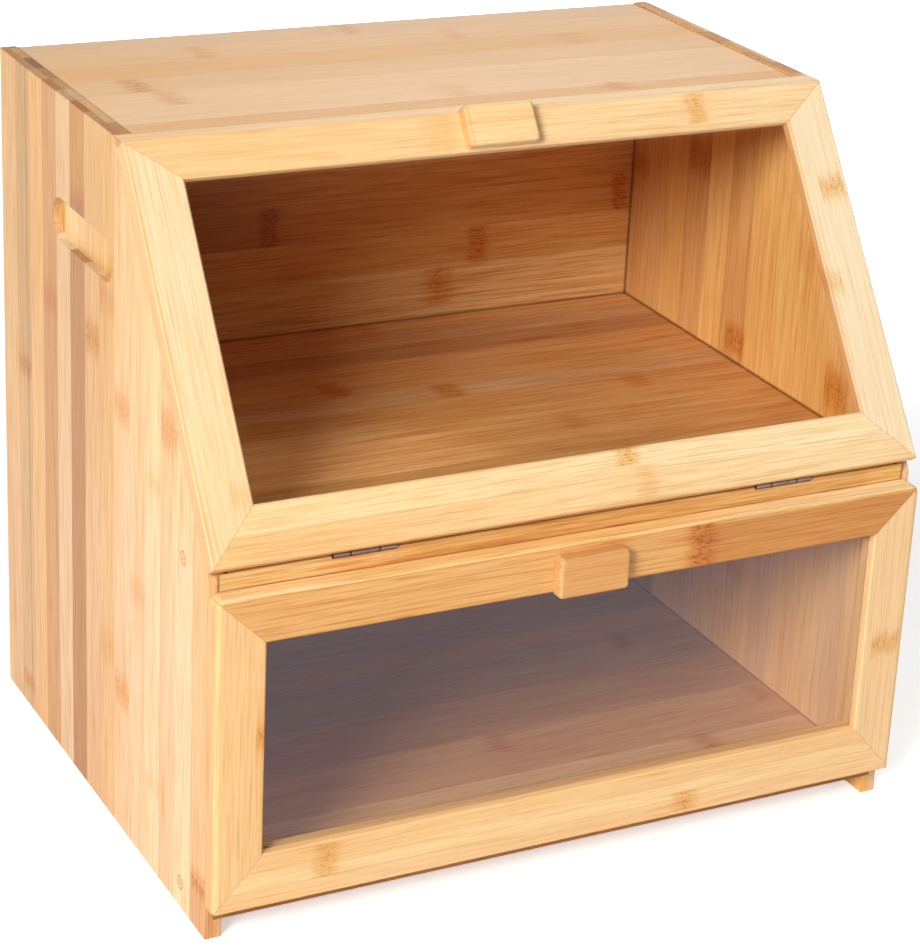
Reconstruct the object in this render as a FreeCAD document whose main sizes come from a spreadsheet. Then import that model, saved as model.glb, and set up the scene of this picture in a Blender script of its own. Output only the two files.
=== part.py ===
import FreeCAD, Part
import Sketcher
import os
import re
from FreeCAD import Placement, Rotation, Vector

# Bread box with a drop-down door above and a drawer below, in bamboo board.
# +X is the right-hand side, -Y the front, +Z up. The origin is on the surface
# that the box stands on, under the middle of its overall length and depth.

doc = FreeCAD.newDocument("BreadBox")

# ---------------------------------------------------------------- driving sizes

SIZES = (
    # the case
    ("case_width", 400),
    ("case_height", 377),
    ("side_depth", 305.5),
    ("board", 9),
    ("slope_angle", 35),
    ("knee_height", 193.4),
    ("shelf_top", 198),
    ("floor_top", 19.3),
    ("top_drop", 0.7),
    ("housing", 4.4),
    ("back_thickness", 6),
    ("back_inset", 7),
    ("back_groove", 4),
    ("arris", 0.8),
    ("end_room", 0.2),
    # grip recess in the outer face of each side
    ("grip_length", 90),
    ("grip_height", 23),
    ("grip_depth", 4.5),
    ("grip_level", 310),
    ("grip_from_back", 130.5),
    # screws and plugs in the sides, dowels of the top board
    ("plug_diameter", 8),
    ("plug_thickness", 1.4),
    ("plug_setback", 32.7),
    ("side_screw_diameter", 3.5),
    ("side_screw_head", 7),
    ("side_screw_head_height", 1.6),
    ("side_screw_reach", 30),
    ("dowel_diameter", 5),
    ("dowel_in_side", 5),
    ("dowel_in_end", 18),
    # upper door
    ("door_thickness", 9.4),
    ("door_gap", 0.4),
    ("door_foot", 4.7),
    ("door_stile", 27.5),
    ("door_top_rail", 21.6),
    ("door_bottom_rail", 28.9),
    ("door_pane_setback", 5.3),
    ("pane_thickness", 2),
    ("pane_cover", 6),
    ("door_arris", 1),
    # drawer front
    ("front_thickness", 10.6),
    ("front_gap", 0.4),
    ("front_foot_gap", 0.3),
    ("front_head_cover", 0.1),
    ("front_stile", 26),
    ("front_top_rail", 25.3),
    ("front_bottom_rail", 29),
    ("front_pane_setback", 5),
    ("front_corner", 5),
    ("front_arris", 3),
    # drawer box
    ("drawer_side_room", 1),
    ("drawer_under_room", 0.3),
    ("drawer_back_room", 4),
    ("drawer_side_height", 160),
    ("drawer_back_height", 150),
    ("drawer_bottom_thickness", 5),
    ("drawer_bottom_lift", 2.9),
    ("drawer_groove", 4.5),
    ("dowel_in_front", 6),
    # knobs
    ("knob_length", 40),
    ("knob_height", 22),
    ("knob_proud", 7),
    ("knob_corner", 2.5),
    ("knob_arris", 2),
    ("knob_above_door", 1.6),
    ("knob_below_front", 4.8),
    ("knob_screw_pitch", 20),
    ("knob_screw_diameter", 3),
    ("knob_screw_head", 5.6),
    ("knob_screw_head_height", 1.8),
    ("knob_screw_bite", 5),
    # hinges
    ("hinge_centre", 119.5),
    ("hinge_length", 33.5),
    ("hinge_end_knuckle", 9),
    ("hinge_play", 0.2),
    ("hinge_setback", 0.2),
    ("hinge_lift", 0.5),
    ("barrel_radius", 1.6),
    ("pin_radius", 0.8),
    ("pin_clearance", 0.05),
    ("leaf_thickness", 0.8),
    ("leaf_reach", 12),
    ("leaf_joggle", 0.3),
    ("door_leaf_room", 0.7),
    ("shelf_leaf_room", 1.5),
    ("bevel_room", 0.4),
    ("hinge_clearance", 0.3),
    ("hinge_screw_pitch", 20),
    ("hinge_screw_inset", 7.5),
    ("hinge_screw_diameter", 2.4),
    ("hinge_screw_head", 4.2),
    ("hinge_screw_length", 6.5),
    # screws at the back of the drawer
    ("box_screw_diameter", 3.5),
    ("box_screw_head", 7),
    ("box_screw_length", 26),
)

# Places worked out from the sizes. "slope" places are in the door's own frame:
# its origin is the knee of the side panels, z runs up the slope, y into the box.
PLACES = (
    ("overall_depth", "side_depth + front_gap + front_thickness + knob_proud"),
    ("back_y", "overall_depth / 2"),
    ("edge_y", "back_y - side_depth"),
    ("inner_x", "case_width / 2 - board"),
    ("back_face_y", "back_y - back_inset - back_thickness"),
    ("slope_rise", "case_height - knee_height"),
    ("slope_run", "slope_rise * tan(slope_angle)"),
    ("slope_cos", "cos(slope_angle)"),
    ("slope_sin", "sin(slope_angle)"),
    ("shelf_under", "shelf_top - board"),
    ("floor_under", "floor_top - board"),
    ("top_surface", "case_height - top_drop"),
    # door, slope frame
    ("door_rear", "0 - door_gap"),
    ("door_face", "0 - door_gap - door_thickness"),
    ("door_head", "(slope_rise + door_face * slope_sin) / slope_cos"),
    ("door_blank_height", "door_head + door_thickness - door_foot"),
    ("door_sight_x", "case_width / 2 - door_stile"),
    ("door_sight_low", "door_foot + door_bottom_rail"),
    ("door_sight_high", "door_head - door_top_rail"),
    ("door_pane_y", "door_face + door_pane_setback"),
    ("door_knob_high", "door_head + knob_above_door"),
    ("door_knob_mid", "door_knob_high - knob_height / 2"),
    # hinge axis, in the case frame and in the slope frame
    ("axis_y", "edge_y + hinge_setback"),
    ("axis_z", "shelf_top + hinge_lift"),
    ("axis_in", "hinge_setback * slope_cos - (axis_z - knee_height) * slope_sin"),
    ("axis_up", "hinge_setback * slope_sin + (axis_z - knee_height) * slope_cos"),
    ("door_leaf_y", "axis_in + barrel_radius - leaf_thickness + leaf_joggle"),
    ("door_leaf_low", "axis_up + barrel_radius + door_leaf_room"),
    ("shelf_leaf_y", "axis_y + barrel_radius + shelf_leaf_room"),
    # drawer front
    ("front_rear_y", "edge_y - front_gap"),
    ("front_face_y", "front_rear_y - front_thickness"),
    ("front_low", "floor_top + front_foot_gap"),
    ("front_high", "shelf_under + front_head_cover"),
    ("front_sight_x", "case_width / 2 - front_stile"),
    ("front_sight_low", "front_low + front_bottom_rail"),
    ("front_sight_high", "front_high - front_top_rail"),
    ("front_pane_y", "front_face_y + front_pane_setback"),
    ("drawer_knob_high", "front_high - knob_below_front"),
    ("drawer_knob_mid", "drawer_knob_high - knob_height / 2"),
    # drawer box
    ("box_x", "inner_x - drawer_side_room"),
    ("box_inner_x", "box_x - board"),
    ("box_low", "floor_top + drawer_under_room"),
    ("box_back_y", "back_face_y - drawer_back_room"),
    ("box_floor_low", "box_low + drawer_bottom_lift"),
)


def fill_sheet(name, rows, formulas):
    """Makes a sheet with one alias per row, holding numbers or formulas."""
    sheet = doc.addObject("Spreadsheet::Sheet", name)
    for row, (alias, content) in enumerate(rows, start=1):
        sheet.set(f"A{row}", alias)
        sheet.set(f"B{row}", "=" + bound(content, name) if formulas else str(content))
        sheet.setAlias(f"B{row}", alias)
    doc.recompute()
    return sheet


HOME = {alias: "Sizes" for alias, number in SIZES}
HOME.update({alias: "Places" for alias, formula in PLACES})


def bound(text, inside=None):
    """Puts the sheet's name before each alias in an expression."""
    def full(match):
        word = match.group()
        home = HOME.get(word)
        return word if home in (None, inside) else f"{home}.{word}"
    return re.sub(r"[a-z][a-z_]+", full, str(text))


fill_sheet("Sizes", SIZES, formulas=False)
places = fill_sheet("Places", PLACES, formulas=True)


def value(text):
    """The present value of an expression, in millimetres or degrees."""
    return float(places.evalExpression(bound(text)))


# -------------------------------------------------------------- building blocks

NODES = []
X_AXIS = Rotation(Vector(0, 1, 0), 90)
MINUS_X_AXIS = Rotation(Vector(0, 1, 0), -90)
Y_AXIS = Rotation(Vector(1, 0, 0), -90)
MINUS_Y_AXIS = Rotation(Vector(1, 0, 0), 90)
UPRIGHT = Rotation()


def bind(thing, **sizes):
    """Binds properties to expressions; x, y and z stand for its place."""
    for name, text in sizes.items():
        path = f"Placement.Base.{name}" if name in ("x", "y", "z") else name
        thing.setExpression(path, bound(text))
    return thing


def on_slope(thing):
    """Stands a piece in the door's frame: on the knee, leaning back."""
    thing.Placement = Placement(Vector(), Rotation(Vector(1, 0, 0), -1))
    bind(thing, y="edge_y", z="knee_height")
    thing.setExpression("Placement.Rotation.Angle", bound("slope_angle"))
    thing.setExpression("Placement.Rotation.Axis.x", "-1")
    return thing


def node(thing, label):
    """Marks an object as a finished sub-part."""
    thing.Label = label
    NODES.append(thing)
    return thing


def body(label, finished=True):
    piece = doc.addObject("PartDesign::Body", label)
    if finished:
        node(piece, label)
    return piece


def block(piece, x, y, z, length, width, height, cut=False, turn=UPRIGHT):
    """Adds or cuts a box with its low corner at x, y, z."""
    kind = "PartDesign::SubtractiveBox" if cut else "PartDesign::AdditiveBox"
    feature = piece.newObject(kind, "Block")
    feature.Placement = Placement(Vector(), turn)
    return bind(feature, x=x, y=y, z=z, Length=length, Width=width, Height=height)


def bore(piece, x, y, z, radius, depth, turn, top_radius=None):
    """Cuts a round or conical hole that starts at x, y, z and runs along turn."""
    kind = "PartDesign::SubtractiveCylinder"
    if top_radius:
        kind = "PartDesign::SubtractiveCone"
    feature = piece.newObject(kind, "Bore")
    feature.Placement = Placement(Vector(), turn)
    if top_radius:
        bind(feature, Radius1=radius, Radius2=top_radius)
    else:
        bind(feature, Radius=radius)
    return bind(feature, x=x, y=y, z=z, Height=depth)


def plane(piece, role):
    return [item for item in piece.Origin.OriginFeatures if item.Role == role][0]


def outline(piece, role, corners):
    """A closed sketch whose corners are pairs of expressions."""
    sketch = piece.newObject("Sketcher::SketchObject", "Outline")
    sketch.AttachmentSupport = [(plane(piece, role), "")]
    sketch.MapMode = "FlatFace"
    spots = [Vector(value(across), value(up), 0) for across, up in corners]
    count = len(spots)
    for side in range(count):
        sketch.addGeometry(Part.LineSegment(spots[side], spots[(side + 1) % count]))
    for side in range(count):
        sketch.addConstraint(Sketcher.Constraint("Coincident", side, 2, (side + 1) % count, 1))
    for side, pair in enumerate(corners):
        for kind, text in zip(("DistanceX", "DistanceY"), pair):
            rule = Sketcher.Constraint(kind, -1, 1, side, 1, value(text))
            number = sketch.addConstraint(rule)
            sketch.setExpression(f"Constraints[{number}]", bound(text))
    return sketch


def prism(piece, role, corners, length):
    """Pads an outline along its plane's normal."""
    sketch = outline(piece, role, corners)
    pad = piece.newObject("PartDesign::Pad", "Pad")
    pad.Profile = sketch
    bind(pad, Length=length)
    return pad


def ease(piece, size, wanted, bevel=False):
    """Rounds or bevels every edge of the body whose middle the test accepts."""
    doc.recompute()
    base = piece.Tip
    names = []
    for number, edge in enumerate(base.Shape.Edges, start=1):
        if wanted(edge.CenterOfMass, edge):
            names.append(f"Edge{number}")
    kind = "PartDesign::Chamfer" if bevel else "PartDesign::Fillet"
    feature = piece.newObject(kind, "Ease")
    feature.Base = (base, names)
    return bind(feature, **{"Size" if bevel else "Radius": size})


def near(one, other):
    return abs(one - other) < 0.02


def copies(label, template, spots):
    """One node of equal separate solids: a template repeated at each spot.

    A turn is a rotation, or an expression for an angle about the X axis.
    """
    links = []
    for x, y, z, turn in spots:
        link = doc.addObject("App::Link", label + "_one")
        link.LinkedObject = template
        if isinstance(turn, str):
            link.Placement = Placement(Vector(), Rotation(Vector(1, 0, 0), 1))
            link.setExpression("Placement.Rotation.Angle", bound(turn))
        else:
            link.Placement = Placement(Vector(), turn)
        links.append(bind(link, x=x, y=y, z=z))
    group = doc.addObject("Part::Compound", label)
    group.Links = links
    return node(group, label)


def cylinder(label, radius, height):
    return bind(doc.addObject("Part::Cylinder", label), Radius=radius, Height=height)


def screw(label, head_radius, head_height, radius, length, sunk):
    """A cross-head screw along +Z, the top of its head at the origin."""
    if sunk:
        head = doc.addObject("Part::Cone", label + "_head")
        bind(head, Radius1=head_radius, Radius2=radius, Height=head_height)
    else:
        head = cylinder(label + "_head", head_radius, head_height)
    shank = cylinder(label + "_shank", radius, length)
    solid = doc.addObject("Part::Fuse", label + "_blank")
    solid.Base = head
    solid.Tool = shank
    for across, along in (("Length", "Width"), ("Width", "Length")):
        slot = doc.addObject("Part::Box", label + "_slot")
        bind(slot, **{across: f"({head_radius}) * 1.1", along: f"({head_radius}) * 0.25"})
        bind(slot, Height=f"({head_height}) * 0.6", z="0 - 0.01")
        axis = {"Length": "x", "Width": "y"}
        bind(slot, **{axis[across]: f"({head_radius}) * -0.55"})
        bind(slot, **{axis[along]: f"({head_radius}) * -0.125"})
        cut = doc.addObject("Part::Cut", label + "_cut")
        cut.Base = solid
        cut.Tool = slot
        solid = cut
    return solid


HANDS = (("left", -1), ("right", 1))


# ----------------------------------------------------------------- side panels

# where the screws go into the shelf and the bottom board, and the top's dowels
SIDE_SCREW_Y = "edge_y + plug_setback"
SIDE_SCREW_SPOTS = tuple((SIDE_SCREW_Y, f"{top} - board / 2") for top in ("shelf_top", "floor_top"))
TOP_FRONT = "edge_y + slope_run"
TOP_DEPTH = f"(back_y - ({TOP_FRONT}))"
DOWEL_Y = tuple(f"{TOP_FRONT} + {TOP_DEPTH} * {share}" for share in (0.2, 0.5, 0.8))


def side_panel(name, hand):
    """Upright board whose front corner is cut to the slope, grooved inside."""
    piece = body(f"side_panel_{name}")
    corners = (
        ("back_y", "0"),
        ("edge_y", "0"),
        ("edge_y", "knee_height"),
        ("edge_y + slope_run", "case_height"),
        ("back_y", "case_height"),
    )
    prism(piece, "YZ_Plane", corners, "board")
    outer_x = "0" if hand < 0 else "board"
    outer = value(outer_x)
    bind(piece, x="0 - case_width / 2" if hand < 0 else "inner_x")
    ease(piece, "arris", lambda spot, edge: near(spot.x, outer))
    groove_x = "board - housing" if hand < 0 else "0"
    shelf_depth = "back_face_y - edge_y"
    block(piece, groove_x, "edge_y", "shelf_under", "housing", shelf_depth, "board", cut=True)
    floor_depth = "back_y - edge_y"
    block(piece, groove_x, "edge_y", "floor_under", "housing", floor_depth, "board", cut=True)
    groove_height = "top_surface - board + back_groove - floor_top + back_groove"
    block(piece, groove_x, "back_face_y", "floor_top - back_groove", "housing", "back_thickness",
          groove_height, cut=True)
    # grip recess: two round ends joined by a box
    grip_x = "0" if hand < 0 else "board - grip_depth"
    grip_y = "back_y - grip_from_back"
    straight = "grip_length - grip_height"
    block(piece, grip_x, f"{grip_y} - ({straight}) / 2", "grip_level - grip_height / 2",
          "grip_depth", straight, "grip_height", cut=True)
    for end in ("-", "+"):
        bore(piece, grip_x, f"{grip_y} {end} ({straight}) / 2", "grip_level",
             "grip_height / 2", "grip_depth", X_AXIS)
    # counterbores and clearance holes of the screws, blind holes of the dowels
    inward = X_AXIS if hand < 0 else MINUS_X_AXIS
    for y, z in SIDE_SCREW_SPOTS:
        bore(piece, outer_x, y, z, "plug_diameter / 2", "plug_thickness", inward)
        bore(piece, outer_x, y, z, "side_screw_head / 2",
             "plug_thickness + side_screw_head_height", inward)
        bore(piece, outer_x, y, z, "side_screw_diameter / 2", "board", inward)
    for y in DOWEL_Y:
        inner = "board" if hand < 0 else "0"
        outward = MINUS_X_AXIS if hand < 0 else X_AXIS
        bore(piece, inner, y, "top_surface - board / 2", "dowel_diameter / 2",
             "dowel_in_side", outward)


for name, hand in HANDS:
    side_panel(name, hand)


# ------------------------------------------------------- boards between the sides

def top_panel():
    """Flat board behind the door's head, dowelled to the sides."""
    piece = body("top_panel")
    bind(piece, x="0 - inner_x", y=TOP_FRONT, z="top_surface - board")
    block(piece, "0", "0", "0", "inner_x * 2", TOP_DEPTH, "board")
    high = value("board")
    ease(piece, "arris", lambda spot, edge: near(spot.y, 0) and near(spot.z, high))
    block(piece, "0", f"back_face_y - ({TOP_FRONT})", "0", "inner_x * 2", "back_thickness",
          "back_groove", cut=True)
    for y in DOWEL_Y:
        for end, turn in (("0", X_AXIS), ("inner_x * 2", MINUS_X_AXIS)):
            bore(piece, end, f"{y} - ({TOP_FRONT})", "board / 2", "dowel_diameter / 2",
                 "dowel_in_end", turn)


def back_panel():
    """Thin board let into grooves in the sides, the top and the bottom board."""
    piece = body("back_panel")
    reach = "inner_x + housing - end_room"
    low = "floor_top - back_groove + end_room"
    high = "top_surface - board + back_groove - end_room"
    bind(piece, x=f"0 - ({reach})", y="back_face_y", z=low)
    block(piece, "0", "0", "0", f"({reach}) * 2", "back_thickness", f"{high} - ({low})")


def housed_board(label, top, depth):
    """Board whose two ends are housed in the sides and screwed there."""
    piece = body(label)
    bind(piece, x="0 - inner_x - housing", y="edge_y", z=f"{top} - board")
    length = "(inner_x + housing) * 2"
    block(piece, "0", "0", "0", length, depth, "board")
    for y, z in SIDE_SCREW_SPOTS:
        for end, turn in (("0", X_AXIS), (length, MINUS_X_AXIS)):
            if f"{top} - board / 2" == z:
                bore(piece, end, f"{y} - edge_y", "board / 2", "side_screw_diameter / 2",
                     "side_screw_reach", turn)
    return piece


def hinge_spots():
    """Each hinge's middle, by its side's name."""
    return (("left", "0 - hinge_centre"), ("right", "hinge_centre"))


def screw_offsets():
    return ("hinge_screw_pitch / 2", "hinge_screw_pitch / -2")


def middle_shelf():
    """Floor of the bread space, notched at its front arris for the hinges."""
    piece = housed_board("middle_shelf", "shelf_top", "back_face_y - edge_y")
    left = "inner_x + housing"
    room = "barrel_radius + hinge_clearance"
    for name, centre in hinge_spots():
        block(piece, f"{left} + {centre} - hinge_length / 2 - hinge_clearance", "0",
              f"board + hinge_lift - ({room})", "hinge_length + hinge_clearance * 2",
              f"hinge_setback + {room} + 0.5", room, cut=True)
        for offset in screw_offsets():
            bore(piece, f"{left} + {centre} + {offset}", "hinge_setback + hinge_screw_inset", "board",
                 "hinge_screw_diameter / 2", "hinge_screw_length - leaf_thickness",
                 Rotation(Vector(1, 0, 0), 180))


def bottom_panel():
    """Board under the drawer, grooved for the back panel."""
    piece = housed_board("bottom_panel", "floor_top", "side_depth")
    block(piece, "0", "back_face_y - edge_y", "board - back_groove", "(inner_x + housing) * 2",
          "back_thickness", "back_groove", cut=True)


top_panel()
back_panel()
middle_shelf()
bottom_panel()


# ------------------------------------------------- fastenings of the cabinet

side_screw = screw("side_screw_shape", "side_screw_head / 2", "side_screw_head_height",
                   "side_screw_diameter / 2", "board - housing - plug_thickness + side_screw_reach",
                   sunk=False)
plug = cylinder("plug_shape", "plug_diameter / 2", "plug_thickness")
dowel = cylinder("dowel_shape", "dowel_diameter / 2", "dowel_in_side + dowel_in_end - end_room * 2")

INWARD = (("0 - case_width / 2", "+", X_AXIS), ("case_width / 2", "-", MINUS_X_AXIS))
copies("side_screws", side_screw, [
    (f"{x} {sign} plug_thickness", y, z, turn)
    for x, sign, turn in INWARD for y, z in SIDE_SCREW_SPOTS])
copies("side_plugs", plug, [
    (x, y, z, turn) for x, sign, turn in INWARD for y, z in SIDE_SCREW_SPOTS])
copies("top_dowels", dowel, [
    (f"{x} {sign} (board - dowel_in_side + end_room)", y, "top_surface - board / 2", turn)
    for x, sign, turn in INWARD for y in DOWEL_Y])


# ------------------------------------------------------------ mitred frames

def mitred_frame(prefix, blank, place, length, edge_x, low, high, sight_x, sight_low, sight_high,
                 head):
    """Cuts a frame blank into two stiles and two rails along its mitre lines."""
    outlines = {
        "stile_left": ((f"0 - {edge_x}", low), (f"0 - {sight_x}", sight_low),
                       (f"0 - {sight_x}", sight_high), (f"0 - {edge_x}", high)),
        "stile_right": ((edge_x, low), (edge_x, high), (sight_x, sight_high),
                        (sight_x, sight_low)),
        "rail_bottom": ((f"0 - {edge_x}", low), (edge_x, low), (sight_x, sight_low),
                        (f"0 - {sight_x}", sight_low)),
        "rail_top": ((f"0 - {edge_x}", high), (f"0 - {sight_x}", sight_high),
                     (sight_x, sight_high), (edge_x, high), (edge_x, head),
                     (f"0 - {edge_x}", head)),
    }
    if head == high:
        outlines["rail_top"] = outlines["rail_top"][:4]
    for part_name, corners in outlines.items():
        wedge = body(f"{prefix}_{part_name}_wedge", finished=False)
        place(wedge)
        prism(wedge, "XZ_Plane", corners, length)
        piece = doc.addObject("Part::Common", f"{prefix}_{part_name}")
        piece.Base = blank
        piece.Tool = wedge
        node(piece, f"{prefix}_{part_name}")


def pane(label, place, sight_x, sight_low, sight_high, y):
    """Clear sheet that reaches behind the frame on all four sides."""
    piece = body(label)
    place(piece)
    reach = f"({sight_x} + pane_cover - end_room)"
    rise = "(pane_cover - end_room)"
    block(piece, f"0 - {reach}", y, f"{sight_low} - {rise}", f"{reach} * 2", "pane_thickness",
          f"{sight_high} - {sight_low} + {rise} * 2")


def knob(label, place, face, middle):
    """Low oblong block with rounded corners, screwed on from behind."""
    piece = body(label)
    place(piece)
    front = f"{face} - knob_proud"
    block(piece, "knob_length / -2", front, f"{middle} - knob_height / 2", "knob_length",
          "knob_proud", "knob_height")
    across = value("knob_proud")
    ease(piece, "knob_corner", lambda spot, edge: near(edge.BoundBox.YLength, across))
    front_y = value(front)
    ease(piece, "knob_arris", lambda spot, edge: near(spot.y, front_y))
    for offset in ("knob_screw_pitch / 2", "knob_screw_pitch / -2"):
        bore(piece, offset, face, middle, "knob_screw_diameter / 2", "knob_screw_bite",
             MINUS_Y_AXIS)


def knob_holes(blank, rear, thickness, middle):
    for offset in ("knob_screw_pitch / 2", "knob_screw_pitch / -2"):
        bore(blank, offset, rear, middle, "knob_screw_diameter / 2", thickness, MINUS_Y_AXIS)


def in_place(thing):
    return thing


def slope_y(y, z):
    """A point of the slope frame, as a place in the case frame."""
    return f"edge_y + ({y}) * slope_cos + ({z}) * slope_sin"


def slope_z(y, z):
    return f"knee_height - ({y}) * slope_sin + ({z}) * slope_cos"


def flat_cut(piece, y, z, low):
    """Cuts a leaning piece level, above z or below it, near y in the case frame."""
    depth = "side_depth"
    back = f"(({y}) - edge_y)"
    rise = f"({z} - knee_height - {depth})" if low else f"({z} - knee_height)"
    feature = block(piece, "0 - case_width", f"{back} * slope_cos - {rise} * slope_sin",
                    f"{back} * slope_sin + {rise} * slope_cos", "case_width * 2", depth, depth,
                    cut=True, turn=Rotation(Vector(1, 0, 0), 1))
    feature.setExpression("Placement.Rotation.Angle", bound("slope_angle"))


# ----------------------------------------------------------------- upper door

def door_frame():
    """Frame that lies on the slope: head cut level, foot bevelled over the shelf."""
    blank = body("door_blank", finished=False)
    on_slope(blank)
    block(blank, "case_width / -2", "door_face", "door_foot", "case_width", "door_thickness",
          "door_blank_height")
    flat_cut(blank, "edge_y - side_depth / 4", "case_height", low=False)
    flat_cut(blank, "edge_y - side_depth / 4",
             "shelf_top + leaf_thickness + bevel_room", low=True)
    block(blank, "0 - door_sight_x", "door_face", "door_sight_low", "door_sight_x * 2",
          "door_thickness", "door_sight_high - door_sight_low", cut=True)
    face = value("door_face")
    ease(blank, "door_arris", lambda spot, edge: near(spot.y, face), bevel=True)
    block(blank, "0 - door_sight_x - pane_cover", "door_pane_y", "door_sight_low - pane_cover",
          "(door_sight_x + pane_cover) * 2", "door_thickness",
          "door_sight_high - door_sight_low + pane_cover * 2", cut=True)
    for name, centre in hinge_spots():
        start = f"{centre} - hinge_length / 2"
        bore(blank, f"{start} - hinge_clearance", "axis_in", "axis_up",
             "barrel_radius + hinge_clearance", "hinge_length + hinge_clearance * 2", X_AXIS)
        block(blank, f"{start} - end_room", "door_leaf_y", "door_foot",
              "hinge_length + end_room * 2", "door_rear - door_leaf_y",
              "axis_up + leaf_reach + end_room - door_foot", cut=True)
        for offset in screw_offsets():
            bore(blank, f"{centre} + {offset}", "door_leaf_y", "axis_up + hinge_screw_inset",
                 "hinge_screw_diameter / 2", "hinge_screw_length - leaf_thickness", MINUS_Y_AXIS)
    knob_holes(blank, "door_rear", "door_thickness", "door_knob_mid")
    mitred_frame("door", blank, on_slope, "door_thickness + door_gap", "(case_width / 2)",
                 "door_foot", "door_head", "door_sight_x", "door_sight_low", "door_sight_high",
                 "door_head + door_thickness")


door_frame()
pane("door_pane", on_slope, "door_sight_x", "door_sight_low", "door_sight_high", "door_pane_y")
knob("door_knob", on_slope, "door_face", "door_knob_mid")


# --------------------------------------------------------------- drawer front

def drawer_frame():
    """Frame that closes against the sides' front edges, rounded but for its sharp foot."""
    blank = body("front_blank", finished=False)
    block(blank, "case_width / -2", "front_face_y", "front_low", "case_width", "front_thickness",
          "front_high - front_low")
    across = value("front_thickness")
    low = value("front_low")
    ease(blank, "front_corner", lambda spot, edge: near(edge.BoundBox.YLength, across)
         and not near(spot.z, low))
    face = value("front_face_y")
    ease(blank, "front_arris", lambda spot, edge: near(spot.y, face) and not near(spot.z, low))
    block(blank, "0 - front_sight_x", "front_face_y", "front_sight_low", "front_sight_x * 2",
          "front_thickness", "front_sight_high - front_sight_low", cut=True)
    inside = value("front_sight_x") + 0.1
    ease(blank, "arris", lambda spot, edge: near(spot.y, face) and abs(spot.x) < inside
         and value("front_sight_low") - 0.1 < spot.z < value("front_sight_high") + 0.1, bevel=True)
    block(blank, "0 - front_sight_x - pane_cover", "front_pane_y", "front_sight_low - pane_cover",
          "(front_sight_x + pane_cover) * 2", "pane_thickness",
          "front_sight_high - front_sight_low + pane_cover * 2", cut=True)
    block(blank, "0 - box_inner_x - drawer_groove", "front_rear_y - drawer_groove",
          "box_floor_low", "(box_inner_x + drawer_groove) * 2", "drawer_groove",
          "drawer_bottom_thickness", cut=True)
    for x, z in FRONT_DOWELS:
        bore(blank, x, "front_rear_y", z, "dowel_diameter / 2", "dowel_in_front", MINUS_Y_AXIS)
    knob_holes(blank, "front_rear_y", "front_thickness", "drawer_knob_mid")

    def at_rear(wedge):
        return bind(wedge, y="front_rear_y")

    mitred_frame("drawer", blank, at_rear, "front_thickness", "(case_width / 2)",
                 "front_low", "front_high", "front_sight_x", "front_sight_low",
                 "front_sight_high", "front_high")


BOX_LEVELS = tuple(f"box_low + drawer_back_height * {share}" for share in (0.28, 0.55, 0.85))
FRONT_DOWELS = tuple(
    (f"{sign} (box_x - board / 2)", z) for sign in ("-1 *", "1 *") for z in BOX_LEVELS
)

drawer_frame()
pane("drawer_pane", in_place, "front_sight_x", "front_sight_low", "front_sight_high",
     "front_pane_y")
knob("drawer_knob", in_place, "front_face_y", "drawer_knob_mid")


# ------------------------------------------------------------------ drawer box

def drawer_side(name, hand):
    """Board behind the front's stile, grooved inside for the drawer's bottom."""
    piece = body(f"drawer_side_{name}")
    bind(piece, x="0 - box_x" if hand < 0 else "box_inner_x", y="front_rear_y", z="box_low")
    length = "box_back_y - front_rear_y"
    block(piece, "0", "0", "0", "board", length, "drawer_side_height")
    high = value("drawer_side_height")
    ease(piece, "arris", lambda spot, edge: near(spot.z, high) and edge.BoundBox.YLength > 1)
    groove_x = "board - drawer_groove" if hand < 0 else "0"
    block(piece, groove_x, "0", "drawer_bottom_lift", "drawer_groove",
          f"{length} - board + drawer_groove", "drawer_bottom_thickness", cut=True)
    for level in BOX_LEVELS:
        bore(piece, "board / 2", "0", f"{level} - box_low", "dowel_diameter / 2",
             "dowel_in_end", Y_AXIS)
        outer = "0" if hand < 0 else "board"
        inward = X_AXIS if hand < 0 else MINUS_X_AXIS
        place = (f"{length} - board / 2", f"{level} - box_low")
        bore(piece, outer, place[0], place[1], "box_screw_diameter / 2", "board", inward)
        bore(piece, outer, place[0], place[1], "box_screw_head / 2", BOX_HEAD, inward,
             top_radius="box_screw_diameter / 2")


BOX_HEAD = "(box_screw_head - box_screw_diameter) / 2"


def drawer_back():
    """Low board between the drawer's sides."""
    piece = body("drawer_back")
    bind(piece, x="0 - box_inner_x", y="box_back_y - board", z="box_low")
    block(piece, "0", "0", "0", "box_inner_x * 2", "board", "drawer_back_height")
    high = value("drawer_back_height")
    ease(piece, "arris", lambda spot, edge: near(spot.z, high) and edge.BoundBox.XLength > 1)
    block(piece, "0", "0", "drawer_bottom_lift", "box_inner_x * 2", "drawer_groove",
          "drawer_bottom_thickness", cut=True)
    for level in BOX_LEVELS:
        for end, turn in (("0", X_AXIS), ("box_inner_x * 2", MINUS_X_AXIS)):
            bore(piece, end, "board / 2", f"{level} - box_low", "box_screw_diameter / 2",
                 "box_screw_length - board", turn)


def drawer_bottom():
    """Thin board let into grooves on all four sides."""
    piece = body("drawer_bottom")
    reach = "(box_inner_x + drawer_groove - end_room)"
    start = "(front_rear_y - drawer_groove + end_room)"
    end = "(box_back_y - board + drawer_groove - end_room)"
    bind(piece, x=f"0 - {reach}", y=start, z="box_floor_low")
    block(piece, "0", "0", "0", f"{reach} * 2", f"{end} - {start}", "drawer_bottom_thickness")


for name, hand in HANDS:
    drawer_side(name, hand)
drawer_back()
drawer_bottom()


# ---------------------------------------------------------------------- hinges

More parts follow.
